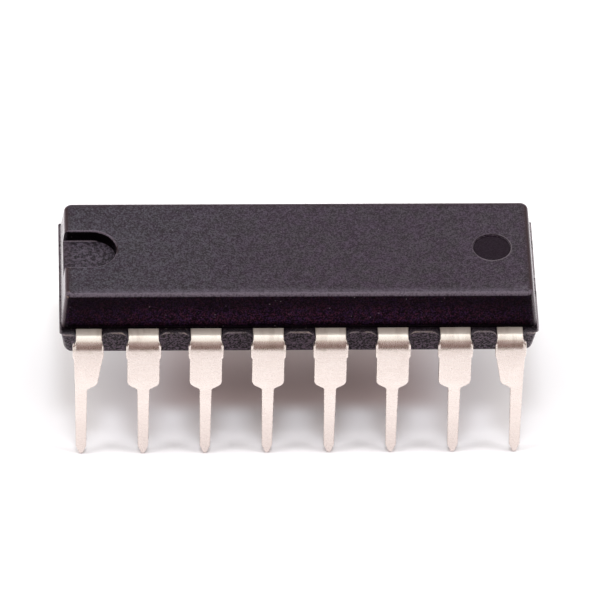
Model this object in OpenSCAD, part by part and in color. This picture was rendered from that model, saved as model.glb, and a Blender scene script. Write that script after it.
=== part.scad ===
// Plastic dual in-line package, 16 leads in two rows of eight
// Frame: origin at the centre of the tips of the leads, +X along the body away from the notch,
// +Z up. Leads 1 to 8 stand in the front row at -Y, from the notch end on.
// Lead 9 faces lead 8, and lead 16 faces lead 1. All sizes are in millimetres.

/* [Moulded body] */
// Distance from the middle of an end lead to the end of the body, without the flange
end_margin = 0.82; // [0.76:0.01:1.1]
// Width of the body at the lead layer
body_width = 6.28; // [6.1:0.02:6.6]
// Height of the upper half, above the lead layer
upper_height = 1.53; // [1.3:0.01:1.9]
// Height of the lower half, below the lead layer
lower_height = 1.5; // [1.2:0.01:1.9]
// Draft of the two end faces of the upper half, in degrees
end_draft = 7; // [4:0.5:10]
// Draft of the two end faces of the lower half, in degrees
lower_end_draft = 5; // [3:0.5:10]
// Draft of the two long sides, in degrees
side_draft = 14.5; // [8:0.5:18]
// Radius of the edges round the top face
top_edge_radius = 0.21; // [0.1:0.01:0.35]
// Radius of the edges round the underside
bottom_edge_radius = 0.38; // [0.1:0.01:0.45]
// Radius of the upright corners of the upper half
corner_radius = 0.33; // [0.22:0.01:0.45]
// Radius of the upright corners of the lower half at the lead layer
lower_corner_radius = 0.12; // [0.05:0.01:0.3]
// How far the moulding flange stands out at the two ends
flange_reach = 0.06; // [0.04:0.01:0.2]
// Radius of the corners of the flange
flange_corner = 0.1; // [0.05:0.01:0.2]
// How far the cut web stands out between two leads
web_reach = 0.04; // [0.02:0.01:0.1]
// Radius that the punch leaves between the web and the side of a lead
web_fillet = 0.3; // [0.1:0.01:0.32]

/* [Marks in the body] */
// Width of the notch that marks the end of lead 1
notch_width = 2.1; // [1.2:0.05:2.6]
// Length of the notch along the top face
notch_length = 2.1; // [1.4:0.05:2.6]
// Depth of the notch
notch_depth = 0.55; // [0.3:0.01:0.7]
// Radius of the rounded rim of the notch
rim_radius = 0.1; // [0.03:0.01:0.2]
// Diameter of the round ejector marks
mark_diameter = 1.56; // [1:0.02:2]
// Depth of the ejector marks
mark_depth = 0.07; // [0.03:0.01:0.12]
// Distance of the ejector mark on top from the end edge of the top face
mark_inset = 1.58; // [1.2:0.02:2]
// Distance between the two ejector marks in the underside
mark_spacing = 11; // [8:0.5:14]

/* [Outer leads] */
// Distance between neighbouring leads
lead_pitch = 2.54; // [2.5:0.01:2.56]
// Thickness of the lead frame
lead_thickness = 0.25; // [0.2:0.01:0.3]
// Width of the neck that leaves the body
neck_width = 1.26; // [1:0.02:1.3]
// Flat length of the neck outside the body
neck_reach = 0.35; // [0.32:0.01:0.5]
// Inner radius of the bend
bend_radius = 0.25; // [0.15:0.01:0.3]
// How far each leg leans out from upright, in degrees
splay_angle = 9; // [3:0.5:12]
// Width across the cut stubs of the dam bar
stub_width = 1.43; // [1.36:0.01:1.5]
// Angle of the bend in the middle of the flare from the neck to the stubs, in degrees
flare_angle = 49; // [40:1:58]
// Length of that flare along the lead
flare_length = 0.3; // [0.2:0.01:0.36]
// Length of the stubs below the bend
stub_drop = 0.39; // [0.2:0.01:0.5]
// Width of the shoulder
shoulder_width = 1.32; // [1.1:0.02:1.34]
// Slope of the underside of the shoulder, in degrees
shoulder_slope = 30; // [10:1:40]
// Radius of the lower corners of the shoulder
shoulder_radius = 0.28; // [0.1:0.01:0.35]
// Width of the pin at the shoulder
pin_width = 0.5; // [0.4:0.01:0.56]
// Width of the pin just above its tip
pin_end_width = 0.43; // [0.38:0.01:0.5]
// Length of the pin below the seating plane
pin_length = 3.12; // [2.9:0.02:3.8]
// Gap between the underside of the body and the seating plane
standoff = 0.64; // [0.38:0.01:0.9]
// Width of the blunt tip of the pin
tip_width = 0.14; // [0.1:0.01:0.3]
// Length over which the tip narrows
tip_length = 0.35; // [0.15:0.01:0.5]

/* [End leads] */
// Reach of the neck towards the body's end, from the middle of the pin
end_neck_outer = 0.22; // [0.1:0.01:0.28]
// Reach of the neck towards the next lead, from the middle of the pin
end_neck_inner = 0.85; // [0.7:0.01:0.9]
// Reach of the outer stub from the middle of the pin
end_stub_outer = 0.35; // [0.3:0.01:0.4]
// Reach of the inner stub from the middle of the pin
end_stub_inner = 0.91; // [0.9:0.01:0.95]
// Reach of the shoulder just below the inner stub, from the middle of the pin
end_shoulder_top = 0.87; // [0.8:0.01:0.9]
// Reach of the shoulder at its lower corner, from the middle of the pin
end_shoulder = 0.66; // [0.5:0.01:0.7]

/* [Lead frame inside] */
// Length of the paddle under the die
paddle_length = 4.6; // [4:0.1:5]
// Width of the paddle under the die
paddle_width = 2.6; // [2.4:0.05:3]
// How far the paddle is pressed down below the leads
downset = 0.2; // [0.1:0.01:0.3]
// Width of the tie bars that carry the paddle
tie_width = 0.44; // [0.3:0.02:0.5]
// Gap round the inner ends of the lead fingers
finger_gap = 0.28; // [0.2:0.01:0.3]
// Width of the lead fingers beside the paddle
finger_width = 0.46; // [0.4:0.01:0.5]
// Width of the long fingers that end beside the tie bars
long_finger_width = 0.3; // [0.25:0.01:0.32]
// Distance between the fingers that end along the paddle
finger_pitch = 1.25; // [1.1:0.05:1.4]
// Diameter of the holes that lock the leads in the resin
lock_hole = 0.4; // [0.3:0.02:0.5]

/* [Die and bond wires] */
// Length of the die
die_length = 2.2; // [1.8:0.05:2.6]
// Width of the die
die_width = 1.8; // [1.4:0.05:2]
// Thickness of the die
die_thickness = 0.28; // [0.2:0.01:0.35]
// Thickness of the adhesive under the die
attach_thickness = 0.03; // [0.02:0.01:0.05]
// How far the adhesive shows round the die
attach_reach = 0.05; // [0.03:0.01:0.1]
// Diameter of the bond wires
wire_diameter = 0.03; // [0.03:0.005:0.05]
// Height of the wire loops above the die
wire_loop = 0.2; // [0.15:0.01:0.3]

/* [Hidden] */

row_count = 8;            // leads in a row
cut = 0.5;                // how far a cutter runs past the face that it opens
slice = 0.01;             // thickness of the slice that sets the wide face of a body half
round_faces = 32;         // sides of the rounding shapes of the body
notch_faces = 96;
mark_faces = 64;
web_faces = 48;
hole_faces = 24;
bend_faces = 96;
arc_steps = 7;            // steps of a rounded corner in a lead's outline
fillet_at_pin = 0.12;     // radius where the shoulder runs into the pin
stub_slope = 0.05;        // length over which the stub is cut back to the shoulder
rim_steps = 5;            // steps of the rounded rim of the notch
neck_inside = 0.8;        // how far the full neck reaches into the body
lock_hole_inset = 0.42;   // distance of the locking hole from the side of the body
finger_lap = 0.3;         // how far a finger starts inside the full neck
root_width = 0.72;        // width of a finger where it leaves the neck
knee_width = 0.6;         // width of a finger at its knee
end_knee = [0.05, 0.45];  // from the root of an end finger to its first knee
end_knee_far = [1.1, 1];  // from the root of an end finger to its second knee
end_run = 1.6;            // straight run of an end finger before its tip
next_knee = [0.1, 0.2];   // from the root of the finger beside it to its knee
next_run = [1.4, 0.12];   // from the last bend of that finger to its tip
tip_run = 0.25;           // straight run of the other fingers before the tip
tie_slope = 0.3;          // length of the sloped part of a tie bar
pad_inset = 0.14;         // distance of the bond pads from the edge of the die
side_pad = 0.45;          // place of the middle pads along the side, over that of the corner pads
end_pads = [0.25, 0.62];  // places of the pads across the end of the die, likewise
loop_lift = 1.5;          // height of the wire's handles over that of its loop
stitch_inset = 0.15;      // distance of the wire's end from the tip of its finger
ball_factor = 2.2;        // diameter of the bonded ball over that of the wire
ball_height = 0.02;       // height of the bonded ball
wire_sides = 6;
wire_steps = 11;

// Levels
lead_z = pin_length + standoff + lower_height;
upper_z = lead_z + lead_thickness;
top_z = upper_z + upper_height;
bottom_z = lead_z - lower_height;
paddle_z = lead_z - downset;
attach_z = paddle_z + lead_thickness;
die_z = attach_z + attach_thickness;
die_top_z = die_z + die_thickness;

// Plan sizes of the body
half_length = (row_count - 1) / 2 * lead_pitch + end_margin;
half_width = body_width / 2;
top_half_length = half_length - upper_height * tan(end_draft);

// Formed leg
bend_y = half_width + neck_reach;
bend_z = lead_z - bend_radius;
bend_angle = 90 - splay_angle;
leg_length = (bend_z + bend_radius * cos(bend_angle)) / sin(bend_angle);
seat_v = leg_length - pin_length / sin(bend_angle);

// Reach of the outer side of an end lead just below its stub
end_outer_side = (end_stub_outer + pin_width / 2) / 2;

// Middle of lead i of a row, counted from 0 at the notch end
function lead_x(i) = (i - (row_count - 1) / 2) * lead_pitch;

// Place of lead i counted from the nearer end of its row, from 0 to 3
function from_end(i) = i < row_count / 2 ? i : row_count - 1 - i;

// Points of an arc of radius r that rounds the corner b between a and c
function rounded(a, b, c, r) =
    let (u = (a - b) / norm(a - b), w = (c - b) / norm(c - b),
         half = acos(u * w) / 2,
         centre = b + (u + w) / norm(u + w) * r / sin(half),
         p = b + u * r / tan(half) - centre,
         q = b + w * r / tan(half) - centre)
    [for (k = [0 : arc_steps])
        let (s = k / arc_steps, turn = 180 - 2 * half)
        centre + (sin((1 - s) * turn) * p + sin(s * turn) * q) / sin(turn)];

// One side of a leg's outline, from the bend down to the tip, for a side that reaches
// stub at the dam bar, wide below it and low at the lower corner of the shoulder
function leg_side(stub, wide, low) =
    let (pin = pin_width / 2,
         corner = [low, seat_v - (low - pin) * tan(shoulder_slope)],
         below_stub = [wide, stub_drop + stub_slope],
         foot = [pin, seat_v],
         taper = [pin_end_width / 2, leg_length - tip_length])
    concat([[stub, 0], [stub, stub_drop], below_stub],
        low > pin + shoulder_radius ? concat(rounded(below_stub, corner, foot, shoulder_radius),
            rounded(corner, foot, taper, fillet_at_pin)) : [foot],
        [taper, [tip_width / 2, leg_length]]);

// The same side of the outline on the other hand, from the tip up
function other_hand(points) =
    [for (i = [len(points) - 1 : -1 : 0]) [-points[i][0], points[i][1]]];

module leg_outline(at_end) {
    inner = at_end ? leg_side(end_stub_inner, end_shoulder_top, end_shoulder)
        : leg_side(stub_width / 2, shoulder_width / 2, shoulder_width / 2);
    outer = at_end ? leg_side(end_stub_outer, end_outer_side, pin_width / 2) : inner;
    polygon(concat(inner, other_hand(outer)));
}

// A flat strip along points, w[i] wide at point i
function strip_normal(points, i) =
    let (last = len(points) - 1,
         before = points[max(i - 1, 0)], after = points[min(i + 1, last)],
         d = (after - before) / norm(after - before))
    [-d[1], d[0]];

module strip(points, w) {
    last = len(points) - 1;
    polygon(concat(
        [for (i = [0 : last]) points[i] + strip_normal(points, i) * w[i] / 2],
        [for (i = [last : -1 : 0]) points[i] - strip_normal(points, i) * w[i] / 2]));
}

// Inner end of the finger of the lead that is number k from the end of its row
function finger_tip(k) =
    k > 1 ? [-(row_count / 2 - k - 0.5) * finger_pitch, -paddle_width / 2 - finger_gap]
    : [-paddle_length / 2 - finger_gap,
       -tie_width / 2 - finger_gap / 2 - long_finger_width / 2
       - k * (long_finger_width + finger_gap / 2)];

// Direction in which that finger runs to its tip
function finger_run(k) = k > 1 ? [0, 1] : [1, 0];

// Middle of the neck inside the body, for the lead that is number k from the end
function root_x(k) = lead_x(k) + (k == 0 ? (end_neck_inner - end_neck_outer) / 2 : 0);

function finger_path(k) =
    let (root = [root_x(k), -half_width + neck_inside], tip = finger_tip(k))
    concat([root - [0, finger_lap]],
        k == 0 ? [root + end_knee, root + end_knee_far, tip - [end_run, 0]]
        : k == 1 ? [root + next_knee, tip - next_run]
        : [root, tip - [0, tip_run]],
        [tip]);

function finger_widths(k) =
    k == 0 ? [root_width, root_width, knee_width, long_finger_width, long_finger_width]
    : k == 1 ? [root_width, knee_width, long_finger_width, long_finger_width]
    : [root_width, knee_width, finger_width, finger_width];

// The bend, x0 to x1 wide, turned back from the leg at angle 0 to the neck
module bend(x0, x1) {
    rotate_extrude(start = -bend_angle, angle = bend_angle, $fn = bend_faces)
        translate([bend_radius, x0]) square([lead_thickness, x1 - x0]);
}

// Outline of the stubs as they grow out of the neck, with the middle of the flare at v = 0.
// It starts narrower than the neck, so that the sides of the flare cut the sides of the neck.
module flare_outline(neck0, neck1, stub0, stub1) {
    half = flare_length / 2;
    polygon([[2 * neck0 - stub0, -3 * half], [stub0, half], [stub0, cut],
        [stub1, cut], [stub1, half], [2 * neck1 - stub1, -3 * half]]);
}

// Stands a flat outline up as a plate against the inner face of the leg
module upright_plate(thickness) {
    translate([bend_radius + lead_thickness, 0, 0]) rotate([0, -90, 0])
        linear_extrude(thickness) children();
}

// The lead that is number k from the end of the front row, as it stands at the notch end
module front_lead(k) {
    at_end = k == 0;
    middle = lead_x(k);
    neck0 = at_end ? -end_neck_outer : -neck_width / 2;
    neck1 = at_end ? end_neck_inner : neck_width / 2;
    stub0 = at_end ? -end_stub_outer : -stub_width / 2;
    stub1 = at_end ? end_stub_inner : stub_width / 2;
    difference() {
        union() {
            translate([0, 0, lead_z]) linear_extrude(lead_thickness) union() {
                translate([middle + neck0, -bend_y])
                    square([neck1 - neck0, neck_reach + neck_inside]);
                strip(finger_path(k), finger_widths(k));
            }
            translate([middle, -bend_y, bend_z]) rotate([0, 0, 180]) rotate([0, -90, 0]) {
                rotate([0, 0, bend_angle]) {
                    bend(neck0, neck1);
                    intersection() {
                        bend(stub0, stub1);
                        rotate([0, 0, flare_angle - bend_angle])
                            upright_plate(bend_radius + lead_thickness)
                                flare_outline(neck0, neck1, stub0, stub1);
                    }
                    upright_plate(lead_thickness) leg_outline(at_end);
                }
            }
        }
        translate([root_x(k), -half_width + lock_hole_inset, lead_z - cut])
            cylinder(d = lock_hole, h = lead_thickness + 2 * cut, $fn = hole_faces);
    }
}

// Puts a front-row shape of the notch end where lead number n stands
module at_lead(n) {
    i = (n - 1) % row_count;
    rotate([0, 0, n > row_count ? 180 : 0]) mirror([i < row_count / 2 ? 0 : 1, 0, 0]) children();
}

module lead(n) {
    color("#e8dcd4") at_lead(n) front_lead(from_end((n - 1) % row_count));
}

// Tie bar at the +X end, drawn from the side: it rises from the paddle to the lead layer
module tie_bar() {
    start = paddle_length / 2;
    end = half_length + flange_reach;
    rotate([90, 0, 0]) translate([0, 0, -tie_width / 2]) linear_extrude(tie_width)
        polygon([[start - cut, paddle_z], [start, paddle_z], [start + tie_slope, lead_z],
            [end, lead_z], [end, upper_z], [start + tie_slope, upper_z],
            [start, paddle_z + lead_thickness], [start - cut, paddle_z + lead_thickness]]);
}

module die_paddle() {
    color("#c8a27a") union() {
        translate([-paddle_length / 2, -paddle_width / 2, paddle_z])
            cube([paddle_length, paddle_width, lead_thickness]);
        tie_bar();
        mirror([1, 0, 0]) tie_bar();
    }
}

module die_attach() {
    length = die_length + 2 * attach_reach;
    width = die_width + 2 * attach_reach;
    color("#d8d8d0") translate([-length / 2, -width / 2, attach_z])
        cube([length, width, attach_thickness]);
}

module die() {
    color("#5a6478") translate([-die_length / 2, -die_width / 2, die_z])
        cube([die_length, die_width, die_thickness]);
}

// Bond pad on the die for the lead that is number k from the end of its row
function pad(k) =
    let (x = die_length / 2 - pad_inset, y = die_width / 2 - pad_inset)
    k > 1 ? [-x * (k == 2 ? 1 : side_pad), -y] : [-x, -y * end_pads[k]];

// Middle line of a bond wire at s from 0 on the die to 1 on the finger
function wire_point(k, s) =
    let (a = pad(k), b = finger_tip(k) - finger_run(k) * stitch_inset,
         z0 = die_top_z + ball_height, z3 = upper_z,
         peak = die_top_z + wire_loop * loop_lift,
         c1 = [a[0], a[1], peak], c2 = [(a[0] + b[0]) / 2, (a[1] + b[1]) / 2, peak],
         p0 = [a[0], a[1], z0], p3 = [b[0], b[1], z3])
    pow(1 - s, 3) * p0 + 3 * s * pow(1 - s, 2) * c1 + 3 * s * s * (1 - s) * c2 + pow(s, 3) * p3;

// Corner j of the ring round the wire at s, which is cut level at both ends
function wire_ring(k, s) =
    let (step = 0.01,
         p = wire_point(k, s),
         d = wire_point(k, min(s + step, 1)) - wire_point(k, max(s - step, 0)),
         t = s == 0 ? [0, 0, 1] : d / norm(d),
         run = finger_tip(k) - finger_run(k) * stitch_inset - pad(k),
         side = [-run[1], run[0], 0] / norm(run),
         up = cross(t, side),
         r = wire_diameter / 2)
    [for (j = [0 : wire_sides - 1])
        let (a = 360 * j / wire_sides,
             q = side * r * cos(a) + up * r * sin(a))
        p + q - (s == 1 ? t * q[2] / t[2] : [0, 0, 0])];

// Level ring of radius r at height z on the bond pad
function ball_ring(k, r, z) =
    let (run = finger_tip(k) - finger_run(k) * stitch_inset - pad(k),
         side = [-run[1], run[0], 0] / norm(run),
         up = cross([0, 0, 1], side))
    [for (j = [0 : wire_sides - 1])
        let (a = 360 * j / wire_sides)
        [pad(k)[0], pad(k)[1], z] + (side * cos(a) + up * sin(a)) * r];

module front_wire(k) {
    ball = ball_factor * wire_diameter / 2;
    rings = concat([ball_ring(k, ball, die_top_z), ball_ring(k, ball, die_top_z + ball_height / 2)],
        [for (i = [0 : wire_steps]) wire_ring(k, i / wire_steps)]);
    count = len(rings);
    polyhedron(
        points = [for (ring = rings) each ring],
        faces = concat(
            [[for (j = [0 : wire_sides - 1]) j]],
            [for (i = [0 : count - 2]) for (j = [0 : wire_sides - 1])
                let (a = i * wire_sides + j, b = i * wire_sides + (j + 1) % wire_sides)
                each [[a, a + wire_sides, b], [b, a + wire_sides, b + wire_sides]]],
            [[for (j = [wire_sides - 1 : -1 : 0]) (count - 1) * wire_sides + j]]));
}

module bond_wire(n) {
    color("#e0b84c") at_lead(n) front_wire(from_end((n - 1) % row_count));
}

// Half of the body above or below the lead layer: a drafted block with rounded edges and corners,
// with its wide face at z = 0 and its height h along +Z
module body_half(h, draft, edge_radius, corner) {
    round_corner = max(corner, edge_radius);
    inset = round_corner - edge_radius;
    x = half_length - h * tan(draft) - edge_radius * (1 - sin(draft)) / cos(draft) - inset;
    y = half_width - h * tan(side_draft) - edge_radius * (1 - sin(side_draft)) / cos(side_draft)
        - inset;
    hull() for (sx = [-1, 1], sy = [-1, 1]) {
        translate([sx * x, sy * y, h - edge_radius]) rounded_disc(round_corner, edge_radius);
        translate([sx * (half_length - corner), sy * (half_width - corner), 0])
            cylinder(r = corner, h = slice, $fn = round_faces);
    }
}

// Disc of radius r whose upper edge is rounded, with its widest ring at z = 0
module rounded_disc(r, edge_radius) {
    rotate_extrude($fn = round_faces) intersection() {
        translate([r - edge_radius, 0]) circle(r = edge_radius, $fn = round_faces);
        square([r, edge_radius]);
    }
}

// Moulding flange in the lead layer, with the punched webs between the leads
module flange() {
    x = half_length + flange_reach - flange_corner;
    y = half_width + web_reach - flange_corner;
    translate([0, 0, lead_z]) linear_extrude(lead_thickness) {
        square([2 * (x + flange_corner), 2 * y], center = true);
        square([2 * x, 2 * (y + flange_corner)], center = true);
        for (sx = [-1, 1], sy = [-1, 1]) translate([sx * x, sy * y])
            circle(r = flange_corner, $fn = round_faces);
        for (side = [-1, 1], i = [0 : row_count - 1], hand = [-1, 1])
            web_corner(side, i, hand);
    }
}

// What the punch leaves of the web in the corner beside the neck of lead i
module web_corner(side, i, hand) {
    inner = (i < row_count / 2 ? 1 : -1) * hand > 0;
    reach = from_end(i) > 0 ? neck_width / 2 : inner ? end_neck_inner : end_neck_outer;
    translate([lead_x(i) + hand * reach, side * (half_width + web_reach)])
        difference() {
            translate([hand > 0 ? 0 : -web_fillet, side > 0 ? 0 : -web_fillet])
                square(web_fillet);
            translate([hand * web_fillet, side * web_fillet])
                circle(r = web_fillet, $fn = web_faces);
        }
}

// Half of the notch's section, from its floor up to its rounded rim and past the top face
function notch_side() =
    let (radius = notch_width / 2)
    concat([[0, 0], [radius, 0]],
        [for (k = [0 : rim_steps])
            let (a = 90 * k / rim_steps)
            [radius + rim_radius * (1 - cos(a)), notch_depth - rim_radius * (1 - sin(a))]],
        [[radius + rim_radius, notch_depth + cut], [0, notch_depth + cut]]);

module notch() {
    start = -top_half_length - cut - notch_depth;
    middle = -top_half_length + notch_length - notch_width / 2;
    translate([0, 0, top_z - notch_depth]) {
        for (hand = [0, 1]) mirror([0, hand, 0]) translate([start, 0, 0])
            rotate([90, 0, 90]) linear_extrude(middle - start) polygon(notch_side());
        translate([middle, 0, 0]) rotate_extrude($fn = notch_faces) polygon(notch_side());
    }
}

module ejector_marks() {
    translate([top_half_length - mark_inset, 0, top_z - mark_depth])
        cylinder(d = mark_diameter, h = mark_depth + cut, $fn = mark_faces);
    for (side = [-1, 1]) translate([side * mark_spacing / 2, 0, bottom_z - cut])
        cylinder(d = mark_diameter, h = mark_depth + cut, $fn = mark_faces);
}

// Everything that the resin closes round
module inside_parts() {
    for (n = [1 : 2 * row_count]) {
        lead(n);
        bond_wire(n);
    }
    die_paddle();
    die_attach();
    die();
}

module body() {
    color("#3a3338") difference() {
        union() {
            translate([0, 0, upper_z])
                body_half(upper_height, end_draft, top_edge_radius, corner_radius);
            translate([0, 0, lead_z]) mirror([0, 0, 1])
                body_half(lower_height, lower_end_draft, bottom_edge_radius, lower_corner_radius);
            flange();
        }
        notch();
        ejector_marks();
        inside_parts();
    }
}

body();
lead(1);  // lead_01
lead(2);  // lead_02
lead(3);  // lead_03
lead(4);  // lead_04
lead(5);  // lead_05
lead(6);  // lead_06
lead(7);  // lead_07
lead(8);  // lead_08
lead(9);  // lead_09
lead(10);  // lead_10
lead(11);  // lead_11
lead(12);  // lead_12
lead(13);  // lead_13
lead(14);  // lead_14
lead(15);  // lead_15
lead(16);  // lead_16
die_paddle();
die_attach();
die();
bond_wire(1);  // bond_wire_01
bond_wire(2);  // bond_wire_02
bond_wire(3);  // bond_wire_03
bond_wire(4);  // bond_wire_04
bond_wire(5);  // bond_wire_05
bond_wire(6);  // bond_wire_06
bond_wire(7);  // bond_wire_07
bond_wire(8);  // bond_wire_08
bond_wire(9);  // bond_wire_09
bond_wire(10);  // bond_wire_10
bond_wire(11);  // bond_wire_11
bond_wire(12);  // bond_wire_12
bond_wire(13);  // bond_wire_13
bond_wire(14);  // bond_wire_14
bond_wire(15);  // bond_wire_15
bond_wire(16);  // bond_wire_16
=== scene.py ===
import bpy
import bmesh
import math
from types import SimpleNamespace
from mathutils import Matrix, Vector


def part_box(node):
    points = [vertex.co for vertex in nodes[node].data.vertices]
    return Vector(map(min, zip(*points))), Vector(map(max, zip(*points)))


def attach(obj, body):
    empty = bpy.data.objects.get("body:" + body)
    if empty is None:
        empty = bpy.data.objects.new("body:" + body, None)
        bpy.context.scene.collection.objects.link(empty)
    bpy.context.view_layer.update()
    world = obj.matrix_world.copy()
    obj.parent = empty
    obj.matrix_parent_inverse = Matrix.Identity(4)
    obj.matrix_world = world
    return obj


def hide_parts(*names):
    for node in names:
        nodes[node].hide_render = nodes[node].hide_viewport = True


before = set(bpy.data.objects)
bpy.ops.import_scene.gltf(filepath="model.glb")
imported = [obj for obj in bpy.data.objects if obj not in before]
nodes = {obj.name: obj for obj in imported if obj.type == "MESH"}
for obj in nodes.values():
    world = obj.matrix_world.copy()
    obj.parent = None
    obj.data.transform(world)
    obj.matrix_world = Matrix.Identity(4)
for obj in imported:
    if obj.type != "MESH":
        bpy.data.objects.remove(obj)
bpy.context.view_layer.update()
MM = 0.001
ROW = 8

# Sizes of the leads in millimetres, as the solids have them
THICK = 0.25
BEND_R = 0.25
BEND_DEG = 81.0
NECK_REACH = 0.35
NECK_INSIDE = 0.8
HALF_WIDTH = 3.14
PITCH = 2.54
NECK_W = 1.26
STUB_W = 1.43
FLARE_DEG = 41.0
STUB_DROP = 0.39
STUB_SLOPE = 0.075
SHOULDER_W = 1.32
SHOULDER_SLOPE = 30.0
SHOULDER_R = 0.28
PIN_W = 0.5
PIN_END_W = 0.43
PIN_LENGTH = 3.12
PIN_FILLET = 0.12
TIP_W = 0.14
TIP_LENGTH = 0.35
END_NECK_OUTER = 0.22
END_NECK_INNER = 0.85
END_STUB_OUTER = 0.35
END_STUB_INNER = 0.91
END_SHOULDER_TOP = 0.87
END_SHOULDER = 0.66
PADDLE_L = 4.6
PADDLE_W = 2.6
TIE_W = 0.44
ROOT_W = 0.72
ROOT_DEPTH = 0.3
WAIST_W = 0.6
FINGER_GAP = 0.28
FINGER_W = 0.46
LONG_FINGER_W = 0.3
FINGER_PITCH = 1.25
LOCK_HOLE = 0.4
LOCK_INSET = 0.42

# Small forms of the leads that the solids leave out, and how finely the strip is cut
ROLLOVER = 0.045
BURR = 0.015
FLARE_LENGTH = 0.21
FLARE_STEPS = 8
EAR_INSET = 0.04
EAR_BLEND = 1.6
EAR_START = 0.12
EAR_RISE = 0.14
BEND_EASE = 0.32
BEND_STEPS = 200
BEND_CUTS = 26
HOLE_SIDES = 24
CUT_REACH = 1e-5
SAME_PLACE = 1e-4
SHARP_DEG = 40

# Sizes of the body in millimetres
HALF_LENGTH = 9.71
TOP_HALF_LENGTH = 9.52
TOP_HALF_WIDTH = 2.744
MARK_INSET = 1.58
MARK_R = 0.78
NOTCH_LENGTH = 2.1
NOTCH_HALF_W = 1.05
NOTCH_DEPTH = 0.55
MARK_X = TOP_HALF_LENGTH - MARK_INSET
NOTCH_END_X = NOTCH_LENGTH - TOP_HALF_LENGTH

TURN = math.radians(BEND_DEG)
BEND_Y = HALF_WIDTH + NECK_REACH
BEND_LEN = TURN * (BEND_R + THICK / 2)
BEND_START, BEND_END = -BEND_LEN - 0.26, 0.11
FLARE_V = -BEND_LEN * (1 - FLARE_DEG / BEND_DEG)

# Heights come from the parts in model.glb
TOP_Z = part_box("body")[1].z / MM
NOTCH_Z = TOP_Z - NOTCH_DEPTH
LEAD_TOP = max(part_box("lead_03")[1].z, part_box("lead_04")[1].z) / MM
LEAD_Z = LEAD_TOP - THICK
BEND_Z = LEAD_Z - BEND_R
LEG = (BEND_Z + BEND_R * math.cos(TURN)) / math.sin(TURN)
SEAT_V = LEG - PIN_LENGTH / math.sin(TURN)

# Chips in the rim of the notch and the corners of the top: place and radius
CHIPS = (((-9.50, -2.62, TOP_Z - 0.05), 0.22), ((-9.47, -1.10, TOP_Z - 0.02), 0.16),
         ((-9.30, -1.07, TOP_Z - 0.03), 0.09), ((9.35, -2.70, TOP_Z - 0.1), 0.07))
# Place of a painted highlight near the right front corner of the top
HIGHLIGHT_SPOT = (9.05, -2.62, TOP_Z)
MARK_SPOT = (MARK_X, 0.0, TOP_Z)


# Small helpers for materials
def tree_of(name):
    m = bpy.data.materials.new(name)
    m.use_nodes = True
    m.node_tree.nodes.clear()
    return m, m.node_tree


def add(tree, kind, props=None, **sockets):
    """A new node. Sockets are given by name, or by number as i0, i1 and so on."""
    n = tree.nodes.new("ShaderNode" + kind)
    for key, value in (props or {}).items():
        setattr(n, key, value)
    for key, value in sockets.items():
        name = key.replace("_", " ")
        socket = n.inputs[int(name[1:])] if name[0] == "i" and name[1:].isdigit() else n.inputs[name]
        if isinstance(value, bpy.types.NodeSocket):
            tree.links.new(value, socket)
        else:
            socket.default_value = value
    return n


def math_node(tree, operation, a, b=0.0):
    return add(tree, "Math", {"operation": operation}, i0=a, i1=b).outputs[0]


def absolute(tree, value):
    return math_node(tree, "ABSOLUTE", value)


def inverse(tree, mask):
    return math_node(tree, "SUBTRACT", 1.0, mask)


def times(tree, *values):
    result = values[0]
    for value in values[1:]:
        result = math_node(tree, "MULTIPLY", result, value)
    return result


def ramp(tree, value, low, high, out_low=0.0, out_high=1.0):
    """Runs smoothly from out_low to out_high while the value goes from low to high."""
    n = add(tree, "MapRange", {"interpolation_type": "SMOOTHSTEP"}, Value=value,
            From_Min=low, From_Max=high, To_Min=out_low, To_Max=out_high)
    return n.outputs[0]


def mix(tree, factor, a, b):
    """Colour between a and b."""
    return add(tree, "Mix", {"data_type": "RGBA"}, i0=factor, i6=a, i7=b).outputs[2]


def blend(tree, factor, a, b):
    """Number between a and b."""
    return add(tree, "Mix", {"data_type": "FLOAT"}, i0=factor, i2=a, i3=b).outputs[0]


def millimetres(tree):
    """Place on the object in millimetres."""
    coords = add(tree, "TexCoord").outputs["Object"]
    return add(tree, "VectorMath", {"operation": "SCALE"}, i0=coords, Scale=1 / MM).outputs[0]


def parts_of(tree, vector):
    return add(tree, "SeparateXYZ", None, Vector=vector).outputs


def stretched(tree, vector, scale):
    return add(tree, "VectorMath", {"operation": "MULTIPLY"}, i0=vector, i1=scale).outputs[0]


def near(tree, place, spot, low, high):
    """1 within low of the spot, falling to 0 at high. All in millimetres."""
    n = add(tree, "VectorMath", {"operation": "DISTANCE"}, i0=place, i1=spot)
    return ramp(tree, n.outputs["Value"], high, low)


def noise(tree, vector, scale, detail=2.0, rough=0.5):
    n = add(tree, "TexNoise", None, Vector=vector, Scale=scale, Detail=detail, Roughness=rough)
    return n.outputs[0]


def bump(tree, height, strength, distance, normal=None):
    n = add(tree, "Bump", None, Strength=strength, Distance=distance, Height=height)
    if normal is not None:
        tree.links.new(normal, n.inputs["Normal"])
    return n.outputs[0]


def edge_mask(tree, radius):
    """Mask that is 1 near convex and concave edges and 0 on open faces, and the rounded normal."""
    rounded = add(tree, "Bevel", {"samples": 8}, Radius=radius).outputs[0]
    flat = add(tree, "NewGeometry").outputs["Normal"]
    dot = add(tree, "VectorMath", {"operation": "DOT_PRODUCT"}, i0=rounded, i1=flat)
    return ramp(tree, dot.outputs["Value"], 0.995, 0.9), rounded


def finish(tree, shader):
    out = tree.nodes.new("ShaderNodeOutputMaterial")
    tree.links.new(shader.outputs[0], out.inputs["Surface"])


def srgb(r, g, b):
    def linear(c):
        c /= 255.0
        return c / 12.92 if c <= 0.04045 else ((c + 0.055) / 1.055) ** 2.4
    return (linear(r), linear(g), linear(b), 1.0)


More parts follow.
